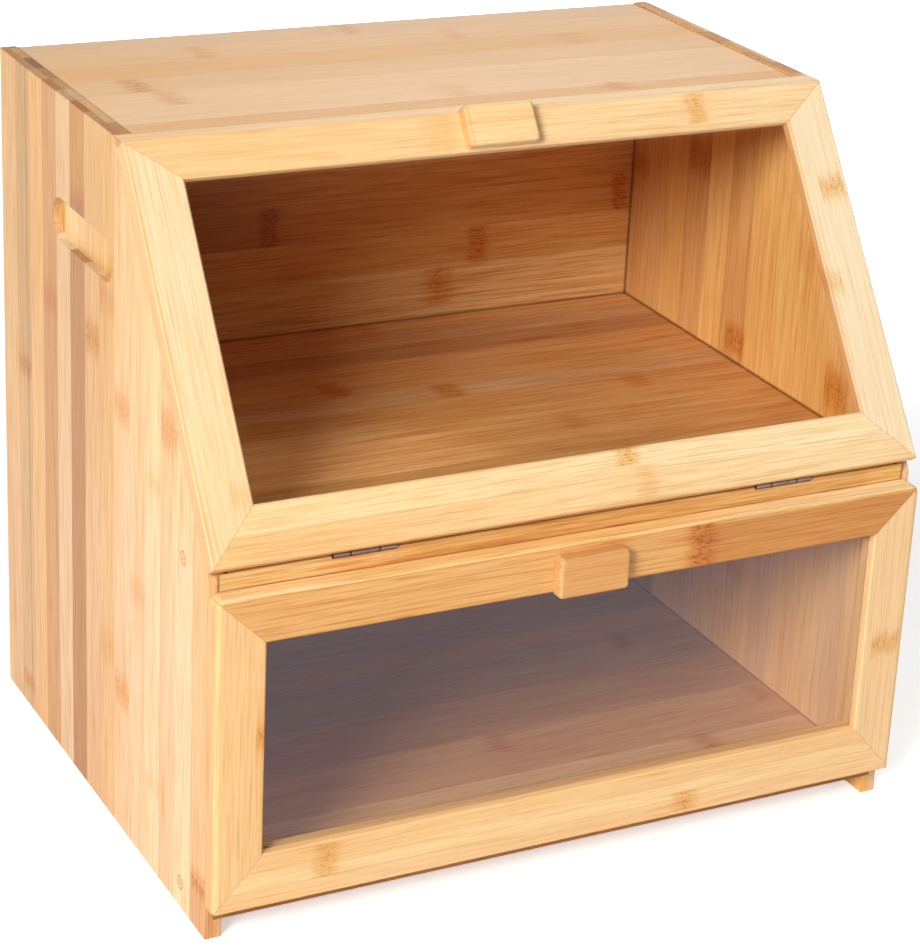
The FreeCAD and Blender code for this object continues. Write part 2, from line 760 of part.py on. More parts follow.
def knuckle(piece, start, length, y, z):
    """A round stretch of the barrel, beginning at start along X."""
    feature = piece.newObject("PartDesign::AdditiveCylinder", "Knuckle")
    feature.Placement = Placement(Vector(), X_AXIS)
    bind(feature, x=start, y=y, z=z, Radius="barrel_radius", Height=length)


def pin_hole(piece, centre, y, z):
    bore(piece, f"{centre} - hinge_length / 2", y, z, "pin_radius + pin_clearance",
         "hinge_length", X_AXIS)


def shelf_leaf(name, centre):
    """Leaf with the two end knuckles, screwed down on the shelf."""
    piece = body(f"hinge_shelf_leaf_{name}")
    start = f"{centre} - hinge_length / 2"
    block(piece, start, "axis_y", "shelf_top", "hinge_length", "leaf_reach", "leaf_thickness")
    middle = "hinge_end_knuckle - hinge_play / 2"
    block(piece, f"{start} + {middle}", "axis_y", "shelf_top",
          f"hinge_length - 2 * ({middle})", "shelf_leaf_y - axis_y", "leaf_thickness", cut=True)
    end_length = "hinge_end_knuckle - hinge_play / 2"
    knuckle(piece, start, end_length, "axis_y", "axis_z")
    knuckle(piece, f"{centre} + hinge_length / 2 - ({end_length})", end_length, "axis_y", "axis_z")
    pin_hole(piece, centre, "axis_y", "axis_z")
    for offset in screw_offsets():
        bore(piece, f"{centre} + {offset}", SHELF_SCREW_Y, "shelf_top + leaf_thickness",
             "hinge_screw_head / 2", "leaf_thickness", Rotation(Vector(1, 0, 0), 180),
             top_radius="hinge_screw_diameter / 2")


def door_leaf(name, centre):
    """Leaf with the middle knuckle, let into the back of the door's foot."""
    piece = body(f"hinge_door_leaf_{name}")
    on_slope(piece)
    middle = "(hinge_length - 2 * hinge_end_knuckle - hinge_play)"
    block(piece, f"{centre} - hinge_length / 2", "door_leaf_y", "door_leaf_low", "hinge_length",
          "leaf_thickness", "axis_up + leaf_reach - door_leaf_low")
    block(piece, f"{centre} - {middle} / 2", "door_leaf_y", "axis_up", middle, "leaf_thickness",
          "door_leaf_low - axis_up")
    knuckle(piece, f"{centre} - {middle} / 2", middle, "axis_in", "axis_up")
    pin_hole(piece, centre, "axis_in", "axis_up")
    for offset in screw_offsets():
        bore(piece, f"{centre} + {offset}", DOOR_SCREW_IN, DOOR_SCREW_UP,
             "hinge_screw_head / 2", "leaf_thickness", MINUS_Y_AXIS,
             top_radius="hinge_screw_diameter / 2")


SHELF_SCREW_Y = "edge_y + hinge_setback + hinge_screw_inset"
DOOR_SCREW_IN = "door_leaf_y + leaf_thickness"
DOOR_SCREW_UP = "axis_up + hinge_screw_inset"

for name, centre in hinge_spots():
    shelf_leaf(name, centre)
    door_leaf(name, centre)
    pin = cylinder(f"hinge_pin_{name}", "pin_radius", "hinge_length")
    pin.Placement = Placement(Vector(), X_AXIS)
    bind(pin, x=f"{centre} - hinge_length / 2", y="axis_y", z="axis_z")
    node(pin, f"hinge_pin_{name}")


# ------------------------------------------------- screws and dowels that remain

hinge_screw = screw("hinge_screw_shape", "hinge_screw_head / 2", "leaf_thickness",
                    "hinge_screw_diameter / 2", "hinge_screw_length", sunk=True)
box_screw = screw("box_screw_shape", "box_screw_head / 2", BOX_HEAD, "box_screw_diameter / 2",
                  "box_screw_length", sunk=True)
OUTWARD_OF_DOOR = "90 - slope_angle"
hinge_x = [f"{centre} + {offset}" for name, centre in hinge_spots()
           for offset in screw_offsets()]
copies("hinge_shelf_screws", hinge_screw, [
    (x, SHELF_SCREW_Y, "shelf_top + leaf_thickness", Rotation(Vector(1, 0, 0), 180))
    for x in hinge_x])
copies("hinge_door_screws", hinge_screw, [
    (x, slope_y(DOOR_SCREW_IN, DOOR_SCREW_UP), slope_z(DOOR_SCREW_IN, DOOR_SCREW_UP),
     OUTWARD_OF_DOOR) for x in hinge_x])

KNOB_SCREW_X = ("knob_screw_pitch / 2", "knob_screw_pitch / -2")


def knob_screws(label, thickness, y, z, turn):
    """Two screws from behind, with their heads proud of the frame."""
    shape = screw(f"{label}_shape", "knob_screw_head / 2", "knob_screw_head_height",
                  "knob_screw_diameter / 2",
                  f"knob_screw_head_height + {thickness} + knob_screw_bite - end_room",
                  sunk=False)
    copies(label, shape, [(x, y, z, turn) for x in KNOB_SCREW_X])


door_head_y = "door_rear + knob_screw_head_height"
knob_screws("door_knob_screws", "door_thickness", slope_y(door_head_y, "door_knob_mid"),
            slope_z(door_head_y, "door_knob_mid"), OUTWARD_OF_DOOR)
knob_screws("drawer_knob_screws", "front_thickness", "front_rear_y + knob_screw_head_height",
            "drawer_knob_mid", "90")

front_dowel = cylinder("front_dowel_shape", "dowel_diameter / 2",
                       "dowel_in_front + dowel_in_end - end_room * 2")
copies("drawer_front_dowels", front_dowel, [
    (x, "front_rear_y + dowel_in_end - end_room", z, MINUS_Y_AXIS) for x, z in FRONT_DOWELS])
copies("drawer_back_screws", box_screw, [
    (x, "box_back_y - board / 2", z, turn)
    for x, turn in (("0 - box_x", X_AXIS), ("box_x", MINUS_X_AXIS)) for z in BOX_LEVELS])


# --------------------------------------------------------------- check and write

doc.recompute()
for thing in doc.Objects:
    if "Invalid" in thing.State or "Error" in thing.State:
        raise RuntimeError(f"{thing.Label} did not build: {thing.State}")
for piece in NODES:
    if piece.Shape.isNull() or not piece.Shape.isValid() or not piece.Shape.Solids:
        raise RuntimeError(f"{piece.Label} has no sound shape")

os.makedirs("parts", exist_ok=True)
for piece in NODES:
    piece.Shape.exportStep(f"parts/{piece.Label}.step")
    box = piece.Shape.BoundBox
    print(f"{piece.Label}: {len(piece.Shape.Solids)} solid(s), "
          f"{box.XLength:.1f} x {box.YLength:.1f} x {box.ZLength:.1f}")
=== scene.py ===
import math

import bpy
from mathutils import Euler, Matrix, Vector


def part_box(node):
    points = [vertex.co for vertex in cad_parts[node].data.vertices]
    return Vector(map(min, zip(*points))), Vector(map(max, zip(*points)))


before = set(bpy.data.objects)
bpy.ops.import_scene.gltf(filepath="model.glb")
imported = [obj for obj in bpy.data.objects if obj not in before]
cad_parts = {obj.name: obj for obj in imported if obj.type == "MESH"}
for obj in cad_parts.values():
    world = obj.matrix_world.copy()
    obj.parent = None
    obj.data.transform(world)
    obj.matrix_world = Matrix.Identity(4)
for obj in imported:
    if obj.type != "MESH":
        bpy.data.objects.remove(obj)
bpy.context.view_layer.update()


# ------------------------------------------------------------------ floor, light and camera
# The box stands on a white sheet in a plain studio: a broad lamp at the front left and weak ones in
# front, overhead and behind at the right. The sheet and the walls look white, the ceiling dark.

FLOOR_REACH = 12.0
FLOOR_PALE = (0.84, 0.84, 0.84, 1)
SHADOW_REACH, SHADOW_GONE = 0.45, 1.5
NEAR_LIFT = 0.50
WALL_LIGHT = 0.04
WALL_IN_A_MIRROR = 0.8
WALL_WHITE = (1, 1, 1, 1)
CEILING_STARTS, CEILING_FULL = 0.30, 0.55
CEILING_DARK = 0.02


def wire(tree, kind, feeds=(), **settings):
    """Adds a shader node and feeds its inputs with plain values or with other nodes' outputs."""
    made = tree.nodes.new("ShaderNode" + kind)
    for setting, value in settings.items():
        setattr(made, setting, value)
    for socket, value in dict(feeds).items():
        if isinstance(value, bpy.types.NodeSocket):
            tree.links.new(value, made.inputs[socket])
        else:
            made.inputs[socket].default_value = value
    return made


def sums(tree, operation, *values):
    return wire(tree, "Math", enumerate(values), operation=operation).outputs[0]


def fade(tree, value, low, high):
    """0 where value is at low and 1 where it is at high, eased between them."""
    feeds = {"Value": value, "From Min": low, "From Max": high}
    return wire(tree, "MapRange", feeds, interpolation_type="SMOOTHSTEP").outputs[0]


def seen_rays(tree):
    """1 for the rays that show the surroundings: straight, in a reflection or through a pane."""
    path = wire(tree, "LightPath").outputs
    shown = sums(tree, "MAXIMUM", path["Is Camera Ray"], path["Is Glossy Ray"])
    return sums(tree, "MAXIMUM", shown, path["Is Transmission Ray"])


def blank_material(name):
    made = bpy.data.materials.new(name)
    made.use_nodes = True
    made.node_tree.nodes.clear()
    return made, made.node_tree


def white_sheet():
    made, tree = blank_material("white_sheet")
    paper = wire(tree, "BsdfDiffuse", {"Color": FLOOR_PALE}).outputs[0]
    place = wire(tree, "TexCoord").outputs["Object"]
    away = wire(tree, "VectorMath", {0: place}, operation="LENGTH").outputs["Value"]
    lift = sums(tree, "ADD", fade(tree, away, SHADOW_REACH, SHADOW_GONE), NEAR_LIFT)
    lift = sums(tree, "MULTIPLY", seen_rays(tree), lift)
    glow = wire(tree, "Emission", {"Strength": lift}).outputs[0]
    both = wire(tree, "AddShader", {0: paper, 1: glow}).outputs[0]
    wire(tree, "OutputMaterial", {"Surface": both})
    return made


def studio_walls():
    world = bpy.data.worlds.new("studio")
    bpy.context.scene.world = world
    world.use_nodes = True
    tree = world.node_tree
    tree.nodes.clear()
    way = wire(tree, "TexCoord").outputs["Generated"]
    height = wire(tree, "SeparateXYZ", {0: way}).outputs["Z"]
    ceiling = fade(tree, height, CEILING_STARTS, CEILING_FULL)
    wall = sums(tree, "SUBTRACT", 1.0, sums(tree, "MULTIPLY", ceiling, 1 - CEILING_DARK))
    seen = seen_rays(tree)
    straight = wire(tree, "LightPath").outputs["Is Camera Ray"]
    mirrored = sums(tree, "MULTIPLY", seen, WALL_IN_A_MIRROR)
    shown = sums(tree, "MULTIPLY", wall, sums(tree, "MAXIMUM", straight, mirrored))
    soft = sums(tree, "MULTIPLY", WALL_LIGHT, sums(tree, "SUBTRACT", 1.0, seen))
    strength = sums(tree, "ADD", shown, soft)
    glow = wire(tree, "Background", {"Color": WALL_WHITE, "Strength": strength}).outputs[0]
    wire(tree, "OutputWorld", {"Surface": glow})


def softbox(name, place, aim, size, power):
    lamp = bpy.data.lights.new(name, "AREA")
    lamp.shape = "DISK"
    lamp.size = size
    lamp.energy = power
    stand = bpy.data.objects.new(name, lamp)
    stand.location = place
    stand.rotation_euler = (Vector(aim) - Vector(place)).to_track_quat("-Z", "Y").to_euler()
    bpy.context.scene.collection.objects.link(stand)


bpy.ops.mesh.primitive_plane_add(size=2 * FLOOR_REACH)
sheet = bpy.context.object
sheet.name = "white_sheet"
sheet.data.materials.append(white_sheet())
studio_walls()
box_middle = (0, 0, 0.19)
softbox("front_left_lamp", (-3.51, -2.74, 2.46), box_middle, size=1.92, power=259)
softbox("front_lamp", (-0.87, -3.23, 3.91), box_middle, size=1.92, power=26)
softbox("overhead_lamp", (0.42, -1.16, 3.99), box_middle, size=1.54, power=22)
softbox("back_right_lamp", (1.34, 2.32, 2.44), box_middle, size=1.35, power=34)

camera = bpy.data.cameras.new("camera")
camera.lens = 105.9
camera.sensor_width = 36
camera.shift_x, camera.shift_y = -0.0526, -0.0558
camera.dof.use_dof = False
tripod = bpy.data.objects.new("camera", camera)
tripod.location = (-0.6481, -1.2527, 0.7557)
turned, tipped, rolled = math.radians(28.59), math.radians(21.64), math.radians(3.15)
aim = Euler((0, 0, -turned)).to_matrix() @ Euler((math.pi / 2 - tipped, 0, 0)).to_matrix()
tripod.rotation_euler = (aim @ Euler((0, 0, rolled)).to_matrix()).to_euler()
bpy.context.scene.collection.objects.link(tripod)
bpy.context.scene.camera = tripod
bpy.context.scene.view_settings.view_transform = "Standard"


# ------------------------------------------------------------------ side panels
# Each side is a bamboo board of two plies. A ply is flat strips, split from the culm and planed,
# glued edge to edge with the grain upright; where a strip crosses a joint of the culm it keeps a
# brown mark, the knuckle. The board is sanded and has a thin coat of satin lacquer.

TONES = {
    "ivory": (253, 229, 190),
    "cream": (252, 221, 178),
    "butter": (253, 218, 168),
    "straw": (252, 215, 158),
    "corn": (249, 203, 143),
    "peach": (249, 207, 164),
    "shell": (233, 198, 161),
    "apricot": (242, 198, 146),
    "ash": (229, 186, 139),
    "sand": (234, 187, 132),
    "sun": (255, 204, 127),
    "gold": (250, 197, 120),
    "honey": (242, 190, 124),
    "amber": (234, 178, 112),
    "drab": (216, 175, 130),
    "tan": (211, 158, 105),
    "russet": (226, 165, 102),
    "taupe": (191, 142, 98),
    "umber": (174, 137, 99),
}

MM = 0.001

# Marks a metre along the grain and across it. A third number is how fine their detail is.
SHADE = (5, 40)
STREAKS = (7, 150)
LINES = (13, 470)
FIBRES = (26, 1300, 3.0)
PORES = (130, 2300)
FLECKS = (330, 1000, 3.0)
JAGS = (14, 240, 3.0)
RUBS = (70, 70, 3.0)
BUNDLES = 1400.0

# What each mark multiplies the wood's colour by.
SHADE_STAIN = (0.94, 0.90, 0.84)
STREAK_STAIN = (0.95, 0.915, 0.86)
LINE_STAIN = (0.92, 0.81, 0.66)
FIBRE_STAIN = (0.80, 0.57, 0.33)
PORE_STAIN = (0.72, 0.54, 0.38)
KNUCKLE_STAIN = (0.90, 0.69, 0.42)
BURNT_STAIN = (0.70, 0.52, 0.38)
END_STAIN = (0.66, 0.55, 0.49)
BUNDLE_STAIN = (0.72, 0.58, 0.50)
# Rubbed edges: wear, and painted shade that dims the highlight the lamp puts on them.
RUBBED_AND_SHADED_STAIN = (0.83, 0.71, 0.56)
SEAM_STAIN = (0.62, 0.46, 0.32)
# Dark lines where boards meet: painted shade in the joints and corners, with some dust.
DUST_AND_PAINTED_SHADE = (0.50, 0.38, 0.29)
# Lightens the recess walls: partly the paler fresh cut, partly painted light on walls the lamps leave
# darker.
FRESH_CUT_AND_PAINTED_LIGHT = (1.15, 1.50, 2.35)

# The parts of a knuckle: where each one starts and is full, in its length, and how strong it is.
PATCH = (1.50, 0.40, 0.80)
RING = (0.45, 0.05, 0.20)
HALO = (3.2, 0.6, 0.14)
JAG_REACH = 0.010

SATIN, LACQUER_SHEEN = 0.40, 0.4
FIBRE_ROUGH, END_ROUGH, EDGE_ROUGH = 0.20, 0.18, 0.25
PORE_SHARE = 0.25
PORE_SINK, BURNT_SINK = -0.5, -0.4
GRAIN_BUMP, GRAIN_HEIGHT = 0.35, 0.0002
EASED_EDGE = 0.0007
SEAM_STRENGTH = 0.42
SEAM_WIDE, SEAM_DARK = 0.35, 0.10
CREASE_SHADE_REACH, CREASE_SHADE_FULL = 0.0018, 0.0004

# How far the grain is shifted from strip to strip and from ply to ply, and how uneven the strips'
# cut ends are.
STRIP_SHIFT, PLY_SHIFT = 0.37, 0.71
PLY_STEP = 13.0
END_SPREAD, END_LEAST = 0.60, 0.30


def tone(name):
    """A strip's colour, as the linear values that a shader takes."""
    return tuple((channel / 255) ** 2.2 for channel in TONES[name]) + (1,)


def group(name, inputs, outputs):
    """An empty node group with these sockets, and its input and output nodes."""
    made = bpy.data.node_groups.new(name, "ShaderNodeTree")
    for way, sockets in (("INPUT", inputs), ("OUTPUT", outputs)):
        for socket, kind in sockets:
            made.interface.new_socket(socket, in_out=way, socket_type="NodeSocket" + kind)
    taken = made.nodes.new("NodeGroupInput")
    given = made.nodes.new("NodeGroupOutput")
    return made, taken.outputs, given.inputs


def cloudy(tree, place, along, across, detail=2.0):
    """Soft noise drawn out along the grain: so many marks a metre along it and across it."""
    scale = {0: place, 1: (along, across, across)}
    drawn = wire(tree, "VectorMath", scale, operation="MULTIPLY").outputs[0]
    return wire(tree, "TexNoise", {"Vector": drawn, "Scale": 1.0, "Detail": detail}).outputs[0]


def stained(tree, colour, share, stain):
    """The colour, multiplied by a stain where the share is 1."""
    feeds = {0: share, 6: colour, 7: (*stain, 1)}
    return wire(tree, "Mix", feeds, data_type="RGBA", blend_type="MULTIPLY").outputs[2]


def bamboo_figure():
    """Fibres, streaks, pores, knuckles, end grain and rubbed edges over a strip's own tone; the edges
    are darkened as wear and as painted shade that dims the lamp's highlight on them.
    """
    inputs = [("Place", "Vector"), ("Tone", "Color")]
    inputs += [(name, "Float") for name in ("Depth", "Knuckle", "End", "Edge")]
    outputs = (("Color", "Color"), ("Roughness", "Float"), ("Height", "Float"))
    tree, taken, given = group("bamboo_figure", inputs, outputs)
    place, depth = taken["Place"], taken["Depth"]

    def streaky(colour, marks, low, high, stain):
        share = sums(tree, "MULTIPLY", fade(tree, marks, low, high), depth)
        return stained(tree, colour, share, stain)

    fibres = cloudy(tree, place, *FIBRES)
    lines = cloudy(tree, place, *LINES)
    streaks = cloudy(tree, place, *STREAKS)
    shade = cloudy(tree, place, *SHADE)
    pores = fade(tree, cloudy(tree, place, *PORES), 0.60, 0.72)
    colour = streaky(taken["Tone"], shade, 0.36, 0.70, SHADE_STAIN)
    colour = streaky(colour, streaks, 0.42, 0.72, STREAK_STAIN)
    colour = streaky(colour, lines, 0.44, 0.74, LINE_STAIN)
    colour = streaky(colour, fibres, 0.42, 0.74, FIBRE_STAIN)
    colour = stained(tree, colour, sums(tree, "MULTIPLY", pores, PORE_SHARE), PORE_STAIN)

    flecks = fade(tree, cloudy(tree, place, *FLECKS), 0.50, 0.62)
    strong = sums(tree, "MULTIPLY", taken["Knuckle"], taken["Knuckle"])
    burnt = sums(tree, "MULTIPLY", strong, flecks)
    colour = stained(tree, colour, taken["Knuckle"], KNUCKLE_STAIN)
    colour = stained(tree, colour, burnt, BURNT_STAIN)

    bundles = wire(tree, "TexVoronoi", {"Vector": place, "Scale": BUNDLES}).outputs["Distance"]
    dots = sums(tree, "MULTIPLY", taken["End"], fade(tree, bundles, 0.45, 0.20))
    colour = stained(tree, colour, taken["End"], END_STAIN)
    colour = stained(tree, colour, dots, BUNDLE_STAIN)
    # Edges darkened: wear, and painted shade over the lamp's highlight.
    colour = stained(tree, colour, taken["Edge"], RUBBED_AND_SHADED_STAIN)

    tree.links.new(colour, given["Color"])
    rough = sums(tree, "MULTIPLY_ADD", fibres, FIBRE_ROUGH, SATIN)
    rough = sums(tree, "MULTIPLY_ADD", taken["End"], END_ROUGH, rough)
    rough = sums(tree, "MULTIPLY_ADD", taken["Edge"], EDGE_ROUGH, rough)
    tree.links.new(rough, given["Roughness"])
    height = sums(tree, "MULTIPLY_ADD", pores, PORE_SINK, fibres)
    height = sums(tree, "MULTIPLY_ADD", burnt, BURNT_SINK, height)
    tree.links.new(height, given["Height"])
    return tree


def knuckle_mark():
    """One knuckle: a soft ragged patch across its strip, darkest in a line at its middle."""
    inputs = [("Place", "Vector")]
    inputs += [(name, "Float") for name in ("Along", "Across", "Half", "Length", "Strength")]
    tree, taken, given = group("knuckle_mark", inputs, [("Mark", "Float")])
    place = wire(tree, "SeparateXYZ", {0: taken["Place"]}).outputs
    ragged = cloudy(tree, taken["Place"], *JAGS)
    jag = sums(tree, "MULTIPLY_ADD", ragged, JAG_REACH, -JAG_REACH / 2)
    off = sums(tree, "SUBTRACT", sums(tree, "ADD", place["X"], jag), taken["Along"])
    reach = sums(tree, "DIVIDE", sums(tree, "ABSOLUTE", off), taken["Length"])

    def band(start, full, strength):
        return sums(tree, "MULTIPLY", fade(tree, reach, start, full), strength)

    aside = sums(tree, "ABSOLUTE", sums(tree, "SUBTRACT", place["Y"], taken["Across"]))
    strip = fade(tree, sums(tree, "DIVIDE", aside, taken["Half"]), 1.0, 0.90)
    mark = sums(tree, "ADD", band(*PATCH), band(*RING))
    mark = sums(tree, "MAXIMUM", mark, band(*HALO))
    mark = sums(tree, "MULTIPLY", mark, strip)
    tree.links.new(sums(tree, "MULTIPLY", mark, taken["Strength"]), given["Mark"])
    return tree


FIGURE = bamboo_figure()
KNUCKLE = knuckle_mark()


def strip_tones(tree, position, tones):
    """A ramp with one flat step of colour for each strip."""
    ramp = wire(tree, "ValToRGB", {0: position})
    steps = ramp.color_ramp
    steps.interpolation = "CONSTANT"
    for number, name in enumerate(tones):
        step = steps.elements[0] if number == 0 else steps.elements.new(number / len(tones))
        step.color = tone(name)
    steps.elements.remove(steps.elements[-1])
    return ramp.outputs[0]


def rubbed_and_shaded_edges(tree):
    """The eased normal of a piece's edges, and how near an edge is, unevenly rubbed. The stain laid on
    this mask is wear and also painted shade that dims the lamp's highlight on the edges.
    """
    eased = wire(tree, "Bevel", {"Radius": EASED_EDGE}, samples=4).outputs[0]
    flat = wire(tree, "NewGeometry").outputs["True Normal"]
    along = wire(tree, "VectorMath", {0: eased, 1: flat}, operation="DOT_PRODUCT").outputs["Value"]
    place = wire(tree, "TexCoord").outputs["Object"]
    rubbed = sums(tree, "MULTIPLY_ADD", cloudy(tree, place, *RUBS), 1.3, -0.15)
    return eased, sums(tree, "MULTIPLY", fade(tree, along, 0.995, 0.85), rubbed)


def bamboo(name, grain, across, plies, pitch, first_edge, knuckles=(), depth=1.0, stretches=(),
           creases=(), recess=None, end_grain=1.0, lean=0.0, foot=(0, 0, 0)):
    """A laminated bamboo material, its sizes in millimetres. grain and across are the board's
    axes. plies are lists of strip tones from the low side up, with the height at which each ends.
    pitch is a strip's width and first_edge is where the first strip starts.
    A knuckle is (along, across, half width, length, strength). A stretch is a strip that changes
    colour: (across, half width, from, to, stain); some stretches are the wood's own tone and some are
    painted light or painted shade. A crease is a dark line where the board meets another, painted
    shade in the joint with some dust: (axis, place, the face that shows it). A recess is (across,
    half width, along, half height): its walls are lightened, partly as the paler fresh cut and partly
    as painted light. depth is how strong the grain is, end_grain how dark its cut ends are. lean and
    foot turn the pattern with a board that leans back."""
    made, tree = blank_material(name)
    own = wire(tree, "TexCoord").outputs
    feeds = {"Vector": own["Object"], "Location": foot, "Rotation": (lean, 0, 0)}
    turned_place = wire(tree, "Mapping", feeds, vector_type="TEXTURE").outputs[0]
    axis = wire(tree, "SeparateXYZ", {0: turned_place}).outputs
    through = next(letter for letter in "XYZ" if letter not in (grain, across))
    count = sums(tree, "DIVIDE", sums(tree, "SUBTRACT", axis[across], first_edge * MM), pitch * MM)
    number = sums(tree, "FLOOR", count)

    colour = None
    layer = 0.0
    for ply, (_, tones) in enumerate(plies):
        flat = strip_tones(tree, sums(tree, "DIVIDE", count, len(tones)), tones)
        if colour is None:
            colour = flat
            continue
        above = sums(tree, "GREATER_THAN", axis[through], plies[ply - 1][0] * MM)
        colour = wire(tree, "Mix", {0: above, 6: colour, 7: flat}, data_type="RGBA").outputs[2]
        layer = sums(tree, "ADD", layer, above)
    edge = sums(tree, "PINGPONG", count, 0.5)
    seam = fade(tree, edge, SEAM_WIDE / pitch, SEAM_DARK / pitch)
    seam = sums(tree, "MULTIPLY", seam, SEAM_STRENGTH * depth)
    colour = stained(tree, colour, seam, SEAM_STAIN)

    shift = sums(tree, "MULTIPLY_ADD", number, STRIP_SHIFT, axis[grain])
    shift = sums(tree, "MULTIPLY_ADD", layer, PLY_SHIFT, shift)
    place = wire(tree, "CombineXYZ", {0: axis[grain], 1: axis[across], 2: axis[through]}).outputs[0]
    own_place = wire(tree, "CombineXYZ", {0: shift, 1: axis[across], 2: axis[through]}).outputs[0]
    for aside, half, start, stop, stain in stretches:
        off = sums(tree, "ABSOLUTE", sums(tree, "SUBTRACT", axis[across], aside * MM))
        share = sums(tree, "LESS_THAN", off, half * MM)
        share = sums(tree, "MULTIPLY", share, fade(tree, axis[grain], start * MM, stop * MM))
        colour = stained(tree, colour, share, stain)
    marks = 0.0
    for along, aside, half, length, strength in knuckles:
        mark = wire(tree, "Group", node_tree=KNUCKLE)
        tree.links.new(place, mark.inputs["Place"])
        sizes = (("Along", along), ("Across", aside), ("Half", half), ("Length", length))
        for socket, size in sizes:
            mark.inputs[socket].default_value = size * MM
        mark.inputs["Strength"].default_value = strength
        marks = sums(tree, "MAXIMUM", marks, mark.outputs["Mark"])

    feeds = {"Vector": own["Normal"], "Angle": -lean}
    facing = wire(tree, "VectorRotate", feeds, rotation_type="X_AXIS").outputs[0]
    cut = wire(tree, "SeparateXYZ", {0: facing}).outputs[grain]
    end = fade(tree, sums(tree, "ABSOLUTE", cut), 0.55, 0.9)
    outward = wire(tree, "SeparateXYZ", {0: own["Normal"]}).outputs
    # The recess walls are lightened: partly the paler fresh cut, partly painted light.
    if recess:
        fresh_and_lit = fade(tree, sums(tree, "ABSOLUTE", outward[through]), 0.9, 0.55)
        for letter, middle, half in ((across, *recess[:2]), (grain, *recess[2:])):
            off = sums(tree, "ABSOLUTE", sums(tree, "SUBTRACT", axis[letter], middle * MM))
            fresh_and_lit = sums(tree, "MULTIPLY", fresh_and_lit, sums(tree, "LESS_THAN", off, half * MM))
        colour = stained(tree, colour, fresh_and_lit, FRESH_CUT_AND_PAINTED_LIGHT)
        end = sums(tree, "MULTIPLY", end, sums(tree, "SUBTRACT", 1.0, fresh_and_lit))
    which = sums(tree, "MULTIPLY_ADD", layer, PLY_STEP, number)
    uneven = wire(tree, "TexWhiteNoise", {"W": which}, noise_dimensions="1D").outputs["Value"]
    end = sums(tree, "MULTIPLY", end, sums(tree, "MULTIPLY_ADD", uneven, END_SPREAD, END_LEAST))
    end = sums(tree, "MULTIPLY", end, end_grain)
    eased, rubbed = rubbed_and_shaded_edges(tree)

    figure = wire(tree, "Group", node_tree=FIGURE)
    figure.inputs["Depth"].default_value = depth
    for socket, value in (("Place", own_place), ("Tone", colour), ("End", end), ("Edge", rubbed)):
        tree.links.new(value, figure.inputs[socket])
    if knuckles:
        tree.links.new(marks, figure.inputs["Knuckle"])
    colour = figure.outputs["Color"]
    # Each crease darkens a thin line on one face: painted shade in the joint, with some dust.
    for letter, at, face in creases:
        off = sums(tree, "ABSOLUTE", sums(tree, "SUBTRACT", axis[letter], at * MM))
        side = -1 if face[0] == "-" else 1
        on_face = sums(tree, "GREATER_THAN", sums(tree, "MULTIPLY", outward[face[1]], side), 0.5)
        crease_shade = sums(tree, "MULTIPLY", fade(tree, off, CREASE_SHADE_REACH, CREASE_SHADE_FULL), on_face)
        colour = stained(tree, colour, crease_shade, DUST_AND_PAINTED_SHADE)
    feeds = {"Height": figure.outputs["Height"], "Strength": GRAIN_BUMP, "Distance": GRAIN_HEIGHT}
    bump = wire(tree, "Bump", {**feeds, "Normal": eased}).outputs[0]
    wood = {"Base Color": colour, "Roughness": figure.outputs["Roughness"]}
    wood |= {"Normal": bump, "Specular IOR Level": LACQUER_SHEEN}
    shader = wire(tree, "BsdfPrincipled", wood).outputs[0]
    wire(tree, "OutputMaterial", {"Surface": shader})
    return made


def finish(name, material):
    """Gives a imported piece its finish."""
    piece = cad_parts[name]
    piece.data.materials.clear()
    piece.data.materials.append(material)


# Where the boards meet: the sides' inner faces, the shelf's top and the back panel's front.
SIDE_INSIDE, SHELF_TOP, BACK_FRONT = 191, 198, 148.75

SIDE_STRIP = 21.75
SIDE_FIRST_EDGE = -146.75
RECESS = (31.25, 45.5, 310, 12)
LEFT_FACE = "apricot cream peach cream peach peach sand ash taupe shell tan sand drab ash honey".split()
LEFT_INNER = """
    peach honey tan apricot peach taupe honey apricot peach cream amber tan taupe honey tan
""".split()
LEFT_KNUCKLES = (
    (28, -136, 10, 7, 1.0), (252, -92, 10.9, 12, 0.9), (216, -71, 10.9, 5, 0.4),
    (50, -71, 10.9, 6, 0.35), (148, -49, 10.9, 9, 0.5), (240, -27, 10.9, 9, 0.8),
    (82, -27, 10.9, 11, 0.9), (290, -5, 10.9, 10, 0.6), (98, -5, 10.9, 12, 0.5),
    (262, 16.5, 10.9, 10, 1.0), (327, 38, 10.9, 9, 0.8), (262, 81.5, 10.9, 9, 0.7),
    (208, 125, 10.9, 6, 1.0), (16, 125, 10.9, 6, 0.9),
)
LEFT_STRETCHES = (
    (38, 10.9, 324, 328, (1.16, 1.12, 0.80)), (38, 10.9, 303, 297, (0.96, 0.91, 0.78)),
    (125, 10.9, 206, 212, (0.90, 0.88, 0.80)), (-136, 11.0, 30, 26, (0.86, 0.74, 0.66)),
    (0, 200, 130, 330, (0.98, 0.93, 0.76)), (67.5, 94.5, 130, 330, (0.90, 0.90, 0.85)),
    (119.5, 1.0, -1, 0, (0.78, 0.72, 0.64)),
)

# The two plies meet just under the floor of the recess.
UNDER_RECESS = 0.2
low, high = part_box("side_panel_left")
side_half = (low.x + high.x) / 2 / MM - UNDER_RECESS
left_side = bamboo(
    "left_side", "Z", "Y", ((side_half, LEFT_FACE), (0, LEFT_INNER)),
    pitch=SIDE_STRIP, first_edge=SIDE_FIRST_EDGE, knuckles=LEFT_KNUCKLES, depth=0.85,
    stretches=LEFT_STRETCHES, creases=(("Y", BACK_FRONT, "+X"), ("Z", SHELF_TOP, "+X")),
    recess=RECESS,
)
finish("side_panel_left", left_side)

